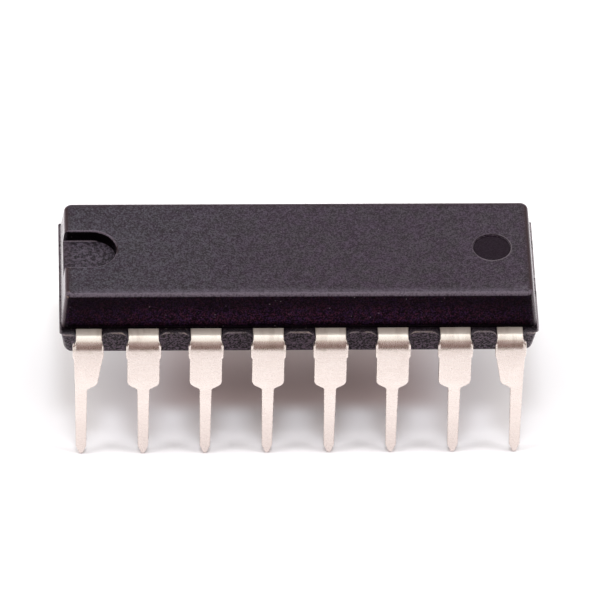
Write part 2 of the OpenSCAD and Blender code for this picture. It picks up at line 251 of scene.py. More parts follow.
# Moulded epoxy of the body. Its layers follow each other as moulded_epoxy calls them.
def resin_zones(t):
    """What the layers share: place, direction, noises and masks of the faces."""
    s = SimpleNamespace()
    s.p = millimetres(t)
    s.x, s.y, s.z = parts_of(t, s.p)
    s.along, s.across = absolute(t, s.x), absolute(t, s.y)
    nx, ny, s.up = parts_of(t, add(t, "NewGeometry").outputs["Normal"])
    s.to_end, s.to_side = absolute(t, nx), absolute(t, ny)
    s.rightward = ramp(t, s.x, -2.0, 2.0)
    s.fine = noise(t, s.p, 30.0, 1.0, 0.5)
    s.grain = noise(t, s.p, 15.0, 2.0, 0.6)
    s.blotch = noise(t, s.p, 11.0, 2.0, 0.6)
    s.coarse = noise(t, s.p, 7.5, 2.0, 0.55)
    s.scuff = noise(t, s.p, 6.0, 4.0, 0.7)
    # Top, sides and ends
    s.on_top = ramp(t, s.up, 0.7, 0.9)
    s.steep = ramp(t, absolute(t, s.up), 0.75, 0.5)
    s.upper_side = times(t, s.steep, ramp(t, s.up, 0.0, 0.2))
    s.lower_side = times(t, s.steep, ramp(t, s.up, 0.0, -0.2))
    s.foot = ramp(t, s.z, LEAD_TOP + 0.36, LEAD_TOP + 0.08)
    s.end_face = ramp(t, s.to_end, 0.8, 0.95)
    s.end_side = times(t, ramp(t, s.to_end, 0.5, 0.85),
                       ramp(t, s.along, TOP_HALF_LENGTH - 0.32, TOP_HALF_LENGTH - 0.17))
    s.mark = times(t, near(t, s.p, MARK_SPOT, MARK_R - 0.03, MARK_R - 0.01), s.on_top)
    # Rounded edges of the top
    s.turned = times(t, ramp(t, s.up, 0.32, 0.55), ramp(t, s.up, 0.995, 0.96),
                     ramp(t, s.z, LEAD_TOP + 0.1, LEAD_TOP + 0.3))
    s.rounding = times(t, s.turned, ramp(t, s.to_side, 0.05, 0.20))
    # Notch
    s.notch_zone = times(t, ramp(t, s.x, NOTCH_END_X + 0.12, NOTCH_END_X + 0.06),
                         ramp(t, s.across, NOTCH_HALF_W + 0.07, NOTCH_HALF_W + 0.05))
    s.notch_wall = times(t, s.notch_zone, s.steep, ramp(t, s.z, NOTCH_Z - 0.03, NOTCH_Z + 0.05),
                         ramp(t, s.along, TOP_HALF_LENGTH, TOP_HALF_LENGTH - 0.14, 0.45, 1.0))
    s.notch_floor = times(t, s.on_top, ramp(t, s.z, NOTCH_Z + 0.25, NOTCH_Z + 0.10))
    # Webs between the leads, the line where the halves of the mould meet, which carries painted shade,
    # and the flange
    s.web_top = times(t, s.on_top, ramp(t, s.z, LEAD_TOP + 0.12, LEAD_TOP + 0.06))
    s.web_face = times(t, ramp(t, s.across, HALF_WIDTH - 0.45, HALF_WIDTH - 0.35),
                       ramp(t, s.along, HALF_LENGTH - 0.02, HALF_LENGTH - 0.08),
                       ramp(t, s.z, LEAD_Z + 0.03, LEAD_Z + 0.15),
                       ramp(t, s.z, LEAD_TOP + 0.12, LEAD_TOP + 0.08))
    s.parting = times(t, s.steep, ramp(t, s.z, LEAD_TOP + 0.10, LEAD_TOP + 0.05),
                      ramp(t, s.z, LEAD_TOP - 0.05, LEAD_TOP - 0.02), ramp(t, s.to_end, 0.6, 0.3))
    s.flange = times(t, ramp(t, s.along, HALF_LENGTH - 0.03, HALF_LENGTH + 0.01),
                     ramp(t, s.z, LEAD_Z - 0.12, LEAD_Z - 0.02))
    return s


def bare_resin(t, s):
    """Violet black with brown and grey-green drifts, browner beside the edges of the top."""
    drift = ramp(t, noise(t, s.p, 2.2, 2.0, 0.5), 0.35, 0.65)
    dark = mix(t, drift, (0.0100, 0.0034, 0.0100, 1), (0.0080, 0.0050, 0.0076, 1))
    light = mix(t, drift, (0.054, 0.039, 0.060, 1), (0.050, 0.042, 0.053, 1))
    light = mix(t, ramp(t, s.x, 2.0, -8.0, 0.0, 0.75), light, (0.057, 0.058, 0.070, 1))
    base = mix(t, ramp(t, s.grain, 0.42, 0.62), dark, light)
    sparks = times(t, ramp(t, s.fine, 0.60, 0.80), ramp(t, s.x, 4.0, 9.0, 0.6, 1.0))
    spark = mix(t, ramp(t, s.x, 4.0, 9.0), (0.10, 0.085, 0.105, 1), (0.15, 0.13, 0.15, 1))
    base = mix(t, sparks, base, spark)
    # Painted highlight near the right front corner of the top
    corner_highlight = times(t, near(t, s.p, HIGHLIGHT_SPOT, 0.10, 0.60), ramp(t, s.scuff, 0.42, 0.62))
    base = mix(t, times(t, corner_highlight, 0.45), base, (0.17, 0.165, 0.18, 1))
    rim = math_node(t, "MAXIMUM", ramp(t, s.along, TOP_HALF_LENGTH - 0.35, TOP_HALF_LENGTH - 0.05),
                    ramp(t, s.y, TOP_HALF_WIDTH - 0.4, TOP_HALF_WIDTH - 0.05))
    return mix(t, times(t, rim, s.on_top, 0.5), base, (0.020, 0.0085, 0.0075, 1))


def side_faces(t, s, base):
    """Sides with blotches and a violet tone. The upper side is painted darker than the top as shade,
    with more painted shade towards its top and at its foot, where it is darkest, and it is darker
    towards its ends.
    """
    hue = mix(t, ramp(t, noise(t, s.p, 5.0, 2.0, 0.6), 0.42, 0.58),
              (0.046, 0.0125, 0.030, 1), (0.030, 0.0112, 0.040, 1))
    speckle = noise(t, s.p, 17.0, 1.0, 0.5)
    speckle = math_node(t, "ADD", times(t, s.blotch, 0.35), times(t, speckle, 0.65))
    upper = mix(t, ramp(t, speckle, 0.44, 0.60), (0.0025, 0.0004, 0.0022, 1), hue)
    upper = mix(t, ramp(t, s.z, TOP_Z - 1.0, TOP_Z - 0.35, 0.0, 0.66), upper,
                (0.0015, 0.0001, 0.0015, 1))
    upper = mix(t, ramp(t, s.along, 5.0, 9.2, 0.0, 0.35), upper, (0.0020, 0.0004, 0.0016, 1))
    upper = mix(t, times(t, s.foot, 0.9), upper, (0.0003, 0.0001, 0.0003, 1))
    base = mix(t, s.upper_side, base, upper)
    lower = mix(t, ramp(t, s.blotch, 0.44, 0.62), (0.002, 0.0006, 0.0020, 1),
                (0.084, 0.045, 0.084, 1))
    return mix(t, s.lower_side, base, lower)


def shaded_webs_and_notch(t, s, base):
    """Painted shade on the webs between the leads and in the notch walls, and a pale line along the
    foot of the walls.
    """
    web_shade = (0.0030, 0.0012, 0.0028, 1)
    base = mix(t, times(t, s.web_top, 0.9), base, web_shade)
    base = mix(t, times(t, s.web_face, ramp(t, s.x, -8.0, 8.0, 0.92, 0.60)), base, web_shade)
    base = mix(t, s.notch_wall, base, (0.0012, 0.0004, 0.0010, 1))
    line = times(t, s.notch_zone, ramp(t, s.across, NOTCH_HALF_W - 0.05, NOTCH_HALF_W - 0.02),
                 ramp(t, s.z, NOTCH_Z + 0.06, NOTCH_Z + 0.03),
                 ramp(t, s.z, NOTCH_Z - 0.05, NOTCH_Z - 0.01), inverse(t, s.end_side))
    return mix(t, times(t, line, 0.8), base, (0.20, 0.17, 0.20, 1))


def glints_and_wear(t, s, base, edge):
    """Painted glints where filler grains catch the light, and worn edges."""
    cells = add(t, "TexVoronoi", None, Vector=s.p, Scale=9.0)
    chance = add(t, "SeparateColor", None, Color=cells.outputs["Color"]).outputs[0]
    glint = times(t, ramp(t, cells.outputs["Distance"], 0.32, 0.12), ramp(t, chance, 0.965, 0.99))
    base = mix(t, times(t, glint, 0.7), base, (0.15, 0.13, 0.14, 1))
    worn = times(t, edge, ramp(t, s.scuff, 0.5, 0.72))
    return mix(t, times(t, worn, 0.5), base, (0.20, 0.165, 0.15, 1))


def tan_web_line(t, s, base):
    """Tan line round the body at the foot of the lead layer. It dips where a lead stands beside it."""
    outside = math_node(t, "MAXIMUM", ramp(t, s.across, HALF_WIDTH - 0.11, HALF_WIDTH - 0.05),
                        ramp(t, s.along, HALF_LENGTH + 0.02, HALF_LENGTH + 0.05))
    from_lead = math_node(t, "PINGPONG", s.x, PITCH / 2)
    height = math_node(t, "ADD", s.z, ramp(t, from_lead, 0.34, 0.64, 0.0, 0.15))
    off_line = absolute(t, math_node(t, "SUBTRACT", height, LEAD_Z + 0.01))
    web_line = times(t, outside, ramp(t, off_line, 0.10, 0.04),
                   ramp(t, from_lead, 0.20, 0.50, 0.60, 1.0),
                   ramp(t, noise(t, s.p, 2.6, 3.0, 0.7), 0.36, 0.50),
                   ramp(t, s.fine, 0.3, 0.6, 0.45, 0.95))
    tan = mix(t, ramp(t, noise(t, s.p, 1.7), 0.4, 0.6), (0.40, 0.345, 0.355, 1),
              (0.58, 0.48, 0.42, 1))
    return mix(t, web_line, base, tan)


def chipped(t, s, base):
    """Brown chips knocked out of the rims."""
    chips = 0.0
    for spot, size in CHIPS:
        chips = math_node(t, "MAXIMUM", chips, near(t, s.p, spot, size * 0.5, size))
    bitten = ramp(t, noise(t, s.p, 9.0, 2.0, 0.6), 0.50, 0.58)
    return mix(t, times(t, chips, bitten), base, (0.42, 0.30, 0.22, 1))


def rims_and_mark(t, s, base):
    """Rounded edges of the top, with painted shade on those at the ends and painted highlights on the
    front and back ones, a painted highlight in the band behind the front edge and on one side of a ring
    round the ejector mark, and the dark ejector mark.
    """
    end_rim_shade = times(t, s.turned, ramp(t, s.to_end, 0.10, 0.25))
    base = mix(t, times(t, end_rim_shade, 0.8), base, (0.020, 0.0085, 0.0085, 1))
    front_highlight = times(t, s.on_top, ramp(t, s.z, TOP_Z - 0.3, TOP_Z - 0.1),
                       ramp(t, s.y, 0.42 - TOP_HALF_WIDTH, 0.12 - TOP_HALF_WIDTH),
                       ramp(t, s.along, TOP_HALF_LENGTH - 0.22, TOP_HALF_LENGTH - 0.52),
                       ramp(t, s.coarse, 0.35, 0.6, 0.25, 0.6))
    base = mix(t, front_highlight, base, (0.095, 0.080, 0.104, 1))
    ring_highlight = times(t, near(t, s.p, MARK_SPOT, MARK_R + 0.03, MARK_R + 0.06),
                 inverse(t, near(t, s.p, MARK_SPOT, MARK_R - 0.02, MARK_R + 0.01)), s.on_top,
                 ramp(t, math_node(t, "SUBTRACT", s.x, s.y), MARK_X - 0.8, MARK_X + 0.6, 0.15, 0.55))
    base = mix(t, ring_highlight, base, (0.16, 0.135, 0.15, 1))
    edge_highlight = times(t, s.rounding, ramp(t, s.grain, 0.30, 0.62, 0.35, 1.0))
    base = mix(t, edge_highlight, base, (0.115, 0.095, 0.120, 1))
    return mix(t, times(t, s.mark, 0.9), base, (0.0060, 0.0018, 0.0055, 1))


def parting_and_ends(t, s, base):
    """Painted shade along the parting line, the sheared flange, greyer at the right, and the end faces,
    painted paler than the top as sheen and palest at the right end.
    """
    base = mix(t, s.parting, base, (0.001, 0.0005, 0.001, 1))
    nicks = ramp(t, noise(t, s.p, 5.0, 3.0, 0.7), 0.40, 0.50)
    nicked = mix(t, s.rightward, (0.050, 0.040, 0.046, 1), (0.12, 0.105, 0.11, 1))
    sheared = mix(t, s.rightward, (0.13, 0.11, 0.12, 1), (0.30, 0.27, 0.285, 1))
    base = mix(t, s.flange, base, mix(t, nicks, nicked, sheared))
    end_sheen = mix(t, s.rightward, (0.050, 0.029, 0.033, 1), (0.058, 0.046, 0.050, 1))
    return mix(t, times(t, s.end_side, inverse(t, s.flange), 0.85), base, end_sheen)


def resin_roughness(t, s):
    """Mark and end faces are polished, and the rounded edges are rubbed smoother."""
    rough = ramp(t, noise(t, s.p, 0.55, 3.0, 0.55), 0.3, 0.7, 0.48, 0.56)
    streak = noise(t, stretched(t, s.p, (1.0, 1.6, 24.0)), 1.0, 3.0, 0.6)
    polish = ramp(t, streak, 0.35, 0.65, 0.09, 0.26)
    for mask, value in ((s.steep, 0.40), (s.rounding, 0.30), (s.end_face, polish), (s.mark, 0.12)):
        rough = blend(t, mask, rough, value)
    return rough


def resin_height(t, s):
    """Moulded grain, coarser on the sides and almost flat on the mark and the end faces."""
    height = math_node(t, "ADD", s.grain, times(t, s.fine, 0.4))
    height = math_node(t, "ADD", height, times(t, s.coarse, s.steep, 1.2))
    return times(t, height, blend(t, math_node(t, "MAXIMUM", s.mark, s.end_face), 1.0, 0.045))


def resin_reflection(t, s):
    """How much each face reflects: little on the upper side, much on the end faces."""
    level = 0.36
    shine = ramp(t, s.blotch, 0.40, 0.64, 0.08, 0.66)
    patches = math_node(t, "ADD", times(t, s.coarse, 0.5), times(t, s.blotch, 0.5))
    gloss = ramp(t, patches, 0.40, 0.60, 0.80, 1.0)
    upper = math_node(t, "SUBTRACT", 0.05, times(t, s.foot, 0.045))
    for mask, value in ((s.upper_side, upper), (s.lower_side, shine), (s.web_top, 0.05),
                        (s.web_face, 0.08), (s.notch_wall, 0.04), (s.end_side, gloss),
                        (s.mark, 0.11), (s.parting, 0.02)):
        level = blend(t, mask, level, value)
    return level


def moulded_epoxy():
    m, t = tree_of("moulded_epoxy")
    s = resin_zones(t)
    edge, rounded = edge_mask(t, 0.05 * MM)
    base = bare_resin(t, s)
    pits = mix(t, ramp(t, s.coarse, 0.42, 0.60), (0.002, 0.0005, 0.0018, 1),
               (0.088, 0.068, 0.092, 1))
    base = mix(t, times(t, s.notch_floor, 0.5), base, pits)
    base = side_faces(t, s, base)
    base = shaded_webs_and_notch(t, s, base)
    base = glints_and_wear(t, s, base, edge)
    base = tan_web_line(t, s, base)
    base = chipped(t, s, base)
    base = rims_and_mark(t, s, base)
    base = parting_and_ends(t, s, base)
    normal = bump(t, resin_height(t, s), 1.0, 0.034 * MM, rounded)
    finish(t, add(t, "BsdfPrincipled", None, Base_Color=base, Roughness=resin_roughness(t, s),
                  Normal=normal, Specular_IOR_Level=resin_reflection(t, s), IOR=1.55,
                  Specular_Tint=(1.0, 0.88, 1.0, 1)))
    return m


# Satin tin plating of the leads
def tin_plating():
    m, t = tree_of("tin_plating")
    p = millimetres(t)
    y, z = parts_of(t, p)[1:]
    from_middle = absolute(t, y)
    drift = noise(t, p, 1.3, 3.0, 0.6)
    rolled = noise(t, stretched(t, p, (1.2, 14.0, 14.0)), 1.0, 3.0, 0.6)
    matte = noise(t, p, 26.0, 2.0, 0.6)
    stain_and_shade = noise(t, stretched(t, p, (2.5, 6.0, 6.0)), 1.0, 4.0, 0.65)
    base = mix(t, ramp(t, drift, 0.3, 0.7), srgb(228, 217, 211), srgb(232, 222, 216))
    base = mix(t, times(t, ramp(t, rolled, 0.35, 0.7), 0.14), base, srgb(232, 216, 207))
    # The plating is stained in the bend, a stain that also paints shade into the dark band there, and
    # thin where the tips were cut
    bent = ramp(t, absolute(t, math_node(t, "SUBTRACT", z, BEND_Z + 0.12)), 0.3, 0.1)
    base = mix(t, times(t, bent, ramp(t, stain_and_shade, 0.45, 0.68), 0.6), base, srgb(188, 180, 166))
    tip = ramp(t, math_node(t, "ADD", z, times(t, stain_and_shade, 0.10)), 0.12, 0.05)
    base = mix(t, times(t, tip, 0.85), base, srgb(112, 84, 68))
    # Where the lead leaves the body it is rougher, with painted shade next to the body and painted
    # reflection in darker patches side by side
    reflection_noise = noise(t, stretched(t, p, (1.6, 0.4, 0.4)), 1.0, 3.0, 0.6)
    reflection_patches = times(t, ramp(t, z, BEND_Z + 0.12, BEND_Z + 0.34), ramp(t, reflection_noise, 0.46, 0.60))
    base = mix(t, times(t, reflection_patches, 0.45), base, srgb(196, 180, 172))
    shadowed = ramp(t, from_middle, HALF_WIDTH + 0.22, HALF_WIDTH + 0.01)
    base = mix(t, times(t, shadowed, 0.15), base, srgb(126, 108, 100))
    # Painted shade: the legs darker towards their tips
    base = mix(t, times(t, ramp(t, z, 2.8, 0.8), 0.6), base, srgb(214, 202, 196))
    at_body = times(t, ramp(t, from_middle, BEND_Y + 0.10, BEND_Y - 0.08),
                    ramp(t, z, BEND_Z + 0.3, BEND_Z + 0.42))
    rough = math_node(t, "ADD", ramp(t, rolled, 0.3, 0.7, 0.26, 0.29),
                      ramp(t, matte, 0.3, 0.7, -0.02, 0.02))
    rough = math_node(t, "ADD", rough, times(t, at_body, 0.40))
    normal = bump(t, math_node(t, "ADD", rolled, times(t, matte, 0.8)), 0.22, 0.002 * MM)
    finish(t, add(t, "BsdfPrincipled", None, Base_Color=base, Roughness=rough, Normal=normal,
                  Metallic=1.0))
    return m


def plain_metal(name, light, dark, roughness, scale, dull_past=None):
    """Metal with a fine grain. Past dull_past along x it is sheared: darker, rougher and less metallic,
    and paler at the right end.
    """
    m, t = tree_of(name)
    p = millimetres(t)
    grain = noise(t, p, scale, 3.0, 0.6)
    base = mix(t, ramp(t, grain, 0.3, 0.7), dark, light)
    rough = ramp(t, grain, 0.3, 0.7, roughness, roughness + 0.12)
    metallic = 1.0
    if dull_past is not None:
        x = parts_of(t, p)[0]
        sheared = ramp(t, absolute(t, x), dull_past - 0.02, dull_past)
        torn = ramp(t, noise(t, stretched(t, p, (1, 2, 12)), 2.0, 3.0, 0.6), 0.4, 0.65)
        left = mix(t, torn, (0.09, 0.075, 0.08, 1), (0.20, 0.17, 0.175, 1))
        right = mix(t, torn, (0.22, 0.195, 0.20, 1), (0.42, 0.38, 0.39, 1))
        base = mix(t, sheared, base, mix(t, ramp(t, x, -2.0, 2.0), left, right))
        metallic = inverse(t, times(t, sheared, 0.9))
        rough = math_node(t, "ADD", rough, times(t, sheared, 0.25))
    finish(t, add(t, "BsdfPrincipled", None, Base_Color=base, Roughness=rough,
                  Normal=bump(t, grain, 0.3, 0.002 * MM), Metallic=metallic))
    return m


def silver_adhesive():
    m, t = tree_of("silver_adhesive")
    flakes = add(t, "TexVoronoi", None, Vector=millimetres(t), Scale=24.0)
    shade = add(t, "SeparateColor", None, Color=flakes.outputs["Color"]).outputs[0]
    base = mix(t, shade, (0.42, 0.42, 0.4, 1), (0.68, 0.68, 0.65, 1))
    normal = bump(t, flakes.outputs["Distance"], 0.4, 0.004 * MM)
    rough = ramp(t, shade, 0.0, 1.0, 0.35, 0.6)
    finish(t, add(t, "BsdfPrincipled", None, Base_Color=base, Roughness=rough, Normal=normal,
                  Metallic=0.6))
    return m


def silicon():
    m, t = tree_of("silicon")
    p = millimetres(t)
    block = add(t, "TexVoronoi", {"distance": "CHEBYCHEV"}, Vector=p, Scale=4.0)
    lines = add(t, "TexWave", {"bands_direction": "X"}, Vector=p, Scale=9.0).outputs[1]
    shade = add(t, "SeparateColor", None, Color=block.outputs["Color"]).outputs[0]
    base = mix(t, shade, (0.05, 0.06, 0.09, 1), (0.12, 0.13, 0.2, 1))
    base = mix(t, times(t, lines, 0.25), base, (0.22, 0.2, 0.25, 1))
    rough = ramp(t, lines, 0.0, 1.0, 0.16, 0.3)
    normal = bump(t, block.outputs["Distance"], 0.2, 0.001 * MM)
    finish(t, add(t, "BsdfPrincipled", None, Base_Color=base, Roughness=rough, Normal=normal,
                  Metallic=0.7))
    return m


EPOXY = moulded_epoxy()
TIN = tin_plating()
FRAME_METAL = plain_metal("lead_frame_metal", srgb(214, 184, 160), srgb(190, 158, 132), 0.3, 9.0,
                          HALF_LENGTH - 0.05)
GOLD = plain_metal("gold_wire", srgb(240, 206, 120), srgb(222, 180, 92), 0.22, 40.0)
ADHESIVE = silver_adhesive()
SILICON = silicon()


# Flat outline of a lead. x runs along the body and v along the strip: 0 at the end of the bend,
# up to LEG at the tip, and below -BEND_LEN in the neck and its finger inside the body.
def soft_step(s):
    s = min(max(s, 0.0), 1.0)
    return s * s * (3 - 2 * s)


def lead_x(i):
    return (i - (ROW - 1) / 2) * PITCH


def strip_v(y):
    """Where y of the plan lies along the flat strip."""
    return -BEND_LEN - (y + BEND_Y)


def neck_sides(k):
    """Left and right side of the neck, from the middle of the lead."""
    return (-END_NECK_OUTER, END_NECK_INNER) if k == 0 else (-NECK_W / 2, NECK_W / 2)


def corner(a, b, c, r, steps=7):
    """Arc of radius r that rounds the corner b between a and c."""
    a, b, c = Vector(a), Vector(b), Vector(c)
    u, w = (a - b).normalized(), (c - b).normalized()
    half = math.acos(max(-1, min(1, u.dot(w)))) / 2
    centre = b + (u + w).normalized() * (r / math.sin(half))
    p, q = b + u * (r / math.tan(half)) - centre, b + w * (r / math.tan(half)) - centre
    turn = math.pi - 2 * half
    points = []
    for k in range(steps + 1):
        s = k / steps
        points.append(centre + (math.sin((1 - s) * turn) * p + math.sin(s * turn) * q) / math.sin(turn))
    return [tuple(v) for v in points]


def leg_side(stub, wide, low):
    """One side of the leg from the stub to the tip, over the shoulder and down the pin."""
    pin = PIN_W / 2
    lower = (low, SEAT_V - (low - pin) * math.tan(math.radians(SHOULDER_SLOPE)))
    below = (wide, STUB_DROP + STUB_SLOPE)
    foot = (pin, SEAT_V)
    taper = (PIN_END_W / 2, LEG - TIP_LENGTH)
    points = [(stub, 0.0), (stub, STUB_DROP), below]
    if low > pin + SHOULDER_R:
        points += corner(below, lower, foot, SHOULDER_R)
        points += corner(lower, foot, taper, PIN_FILLET)
    else:
        points.append(foot)
    return points + [taper, (TIP_W / 2, LEG)]


def finger_tip(k):
    if k > 1:
        return (-(ROW / 2 - k - 0.5) * FINGER_PITCH, -PADDLE_W / 2 - FINGER_GAP)
    return (-PADDLE_L / 2 - FINGER_GAP,
            -TIE_W / 2 - FINGER_GAP / 2 - LONG_FINGER_W / 2 - k * (LONG_FINGER_W + FINGER_GAP / 2))


def finger_sides(k):
    """Left and right side of the finger in plan, from its root to its tip, and the root."""
    root = (lead_x(k) + sum(neck_sides(k)) / 2, -HALF_WIDTH + NECK_INSIDE)
    tip = finger_tip(k)
    start = (root[0], root[1] - ROOT_DEPTH)
    if k == 0:
        path = [start, (root[0] + 0.05, root[1] + 0.45), (root[0] + 1.1, root[1] + 1.0),
                (tip[0] - 1.6, tip[1]), tip]
        widths = [ROOT_W, ROOT_W, WAIST_W, LONG_FINGER_W, LONG_FINGER_W]
    elif k == 1:
        path = [start, (root[0] + 0.1, root[1] + 0.2), (tip[0] - 1.4, tip[1] - 0.12), tip]
        widths = [ROOT_W, WAIST_W, LONG_FINGER_W, LONG_FINGER_W]
    else:
        path = [start, root, (tip[0], tip[1] - 0.25), tip]
        widths = [ROOT_W, WAIST_W, FINGER_W, FINGER_W]
    left, right = [], []
    for i, point in enumerate(path):
        before = Vector(path[max(i - 1, 0)])
        after = Vector(path[min(i + 1, len(path) - 1)])
        d = (after - before).normalized()
        normal = Vector((-d.y, d.x))
        left.append(Vector(point) + normal * widths[i] / 2)
        right.append(Vector(point) - normal * widths[i] / 2)
    for side in (left, right):
        a, b = side[0], side[1]
        if b.y > root[1]:
            side[0] = a + (b - a) * ((root[1] - a.y) / (b.y - a.y))
        else:
            side[0] = Vector((b.x, root[1]))
            if abs(b.y - root[1]) < SAME_PLACE:
                side.pop(1)
    return left, right, root


def flare(stub, neck):
    """Side of the lead from the neck out to the stub, an even S."""
    points = []
    for j in range(FLARE_STEPS + 1):
        s = j / FLARE_STEPS
        points.append((neck + (stub - neck) * soft_step(s), FLARE_V + (s - 0.5) * FLARE_LENGTH))
    return points


def flat_outline(k):
    """Outer loop, against the clock seen from above the strip's outer face, and the locking hole."""
    if k == 0:
        inner = leg_side(END_STUB_INNER, END_SHOULDER_TOP, END_SHOULDER)
        outer = leg_side(END_STUB_OUTER, (END_STUB_OUTER + PIN_W / 2) / 2, PIN_W / 2)
        stub = (-END_STUB_OUTER, END_STUB_INNER)
    else:
        inner = outer = leg_side(STUB_W / 2, SHOULDER_W / 2, SHOULDER_W / 2)
        stub = (-STUB_W / 2, STUB_W / 2)
    neck = neck_sides(k)
    middle = lead_x(k)
    left, right, root = finger_sides(k)
    v_root = strip_v(root[1])
    loop = [(middle + x, v) for x, v in inner]
    loop += [(middle - x, v) for x, v in reversed(outer)]
    loop += [(middle + x, v) for x, v in reversed(flare(stub[0], neck[0]))]
    loop += [(middle + neck[0], -BEND_LEN), (middle + neck[0], v_root)]
    loop += [(p.x, strip_v(p.y)) for p in left]
    loop += [(p.x, strip_v(p.y)) for p in reversed(right)]
    loop += [(middle + neck[1], v_root), (middle + neck[1], -BEND_LEN)]
    loop += [(middle + x, v) for x, v in flare(stub[1], neck[1])]
    clean = []
    for point in loop:
        if not clean or (Vector(point) - Vector(clean[-1])).length > SAME_PLACE:
            clean.append(point)
    hole_v = strip_v(-HALF_WIDTH + LOCK_INSET)
    angles = (math.tau * j / HOLE_SIDES for j in range(HOLE_SIDES))
    hole = [(root[0] + LOCK_HOLE / 2 * math.cos(a), hole_v + LOCK_HOLE / 2 * math.sin(a))
            for a in angles]
    return clean, hole


def inset(loop, distance):
    """The loop moved into the metal by distance. The metal lies to the left of the loop."""
    count = len(loop)
    moved = []
    for i in range(count):
        a, b, c = Vector(loop[i - 1]), Vector(loop[i]), Vector(loop[(i + 1) % count])
        d1, d2 = (b - a).normalized(), (c - b).normalized()
        n1, n2 = Vector((-d1.y, d1.x)), Vector((-d2.y, d2.x))
        moved.append(b + (n1 + n2) * (distance / (1 + n1.dot(n2))))
    return moved


def area(loop):
    return sum(loop[i - 1][0] * loop[i][1] - loop[i][0] * loop[i - 1][1] for i in range(len(loop))) / 2


# Bending of the flat strip
def bend_share(s):
    """Share of the turn at s of the bend: the turn sets in and fades out evenly."""
    s = min(max(s, 0.0), 1.0)
    if s > 0.5:
        return 1 - bend_share(1 - s)
    if s < BEND_EASE:
        return s * s / (2 * BEND_EASE) / (1 - BEND_EASE)
    return (s - BEND_EASE / 2) / (1 - BEND_EASE)


def on_leg(v, w):
    """y and z on the straight leg, w above its inner face."""
    r = BEND_R + w
    return (-BEND_Y - r * math.sin(TURN) - v * math.cos(TURN),
            BEND_Z + r * math.cos(TURN) - v * math.sin(TURN))


def bend_path():
    """Middle of the sheet along the bend: turn, y and z at even steps of v."""
    points = []
    y, z = -BEND_Y - (BEND_START + BEND_LEN), LEAD_Z + THICK / 2
    step = (BEND_END - BEND_START) / BEND_STEPS
    for j in range(BEND_STEPS + 1):
        points.append((TURN * bend_share(j / BEND_STEPS), y, z))
        middle = TURN * bend_share((j + 0.5) / BEND_STEPS)
        y -= math.cos(middle) * step
        z -= math.sin(middle) * step
    # Bring the end of the path back onto the leg of the solid
    last = points[-1]
    leg_y, leg_z = on_leg(BEND_END, THICK / 2)
    shift = (leg_y - last[1], leg_z - last[2])
    fixed = []
    for j, (a, py, pz) in enumerate(points):
        s = soft_step(j / BEND_STEPS)
        fixed.append((a, py + shift[0] * s, pz + shift[1] * s))
    return fixed


PATH = bend_path()


def formed(x, v, w):
    """Place in millimetres of a point of the flat strip, w above its inner face."""
    s = (v - BEND_START) / (BEND_END - BEND_START) * BEND_STEPS
    if s <= 0:
        return Vector((x, -BEND_Y - (v + BEND_LEN), LEAD_Z + w))
    if s >= BEND_STEPS:
        return Vector((x, *on_leg(v, w)))
    j = int(s)
    a, b = PATH[j], PATH[j + 1]
    turn, y, z = (low + (high - low) * (s - j) for low, high in zip(a, b))
    out = w - THICK / 2
    return Vector((x, y - out * math.sin(turn), z + out * math.cos(turn)))


def with_ears(k, x, v, w):
    """The stubs of the dam bar stay flat with the leg while the lead beside them bends."""
    point = formed(x, v, w)
    low, high = neck_sides(k)
    out = max(low - (x - lead_x(k)), (x - lead_x(k)) - high) + EAR_INSET
    share = soft_step(out / (EAR_INSET * EAR_BLEND)) * soft_step((v - FLARE_V + EAR_START) / EAR_RISE)
    if share <= 0 or v > BEND_END:
        return point
    return point.lerp(Vector((x, *on_leg(v, w))), share)


# Stamped and formed leads
def edge_levels():
    """Height and inset up the stamped edge: the burr at its foot and the rollover at its top."""
    levels = []
    for degrees in (0, 45, 90):
        a = math.radians(degrees)
        levels.append((BURR * (1 - math.cos(a)), BURR * (1 - math.sin(a))))
    for degrees in (0, 22.5, 45, 67.5, 90):
        a = math.radians(degrees)
        levels.append((THICK - ROLLOVER * (1 - math.sin(a)), ROLLOVER * (1 - math.cos(a))))
    return levels


def stamped_edges(bm, loop, levels):
    """Walls along the loop, and the edges that close its lower and upper end."""
    rings = [[bm.verts.new((p.x, p.y, w)) for p in inset(loop, d)] for w, d in levels]
    count = len(loop)
    for low, high in zip(rings, rings[1:]):
        for i in range(count):
            j = (i + 1) % count
            bm.faces.new((low[i], low[j], high[j], high[i]))
    bm.edges.ensure_lookup_table()
    return [[bm.edges.get((ring_highlight[i], ring_highlight[(i + 1) % count])) for i in range(count)]
            for ring_highlight in (rings[0], rings[-1])]


def cut_for_bending(bm, k):
    """Cuts across the bend, and along the lead where the ears begin."""
    for i in range(BEND_CUTS + 1):
        v = BEND_START + (BEND_END - BEND_START) * i / BEND_CUTS
        bmesh.ops.bisect_plane(bm, geom=bm.verts[:] + bm.edges[:] + bm.faces[:], dist=CUT_REACH,
                               plane_co=(0, v, 0), plane_no=(0, 1, 0))
    for side, sign in zip(neck_sides(k), (1, -1)):
        for step in (0.0, 0.5, 1.0, EAR_BLEND):
            faces = [f for f in bm.faces if max(v.co.y for v in f.verts) > BEND_START
                     and min(v.co.y for v in f.verts) < BEND_END]
            edges = {e for f in faces for e in f.edges}
            verts = {v for f in faces for v in f.verts}
            spot = lead_x(k) + side + sign * EAR_INSET * (1 - step)
            bmesh.ops.bisect_plane(bm, geom=list(verts) + list(edges) + faces, dist=CUT_REACH,
                                   plane_co=(spot, 0, 0), plane_no=(1, 0, 0))


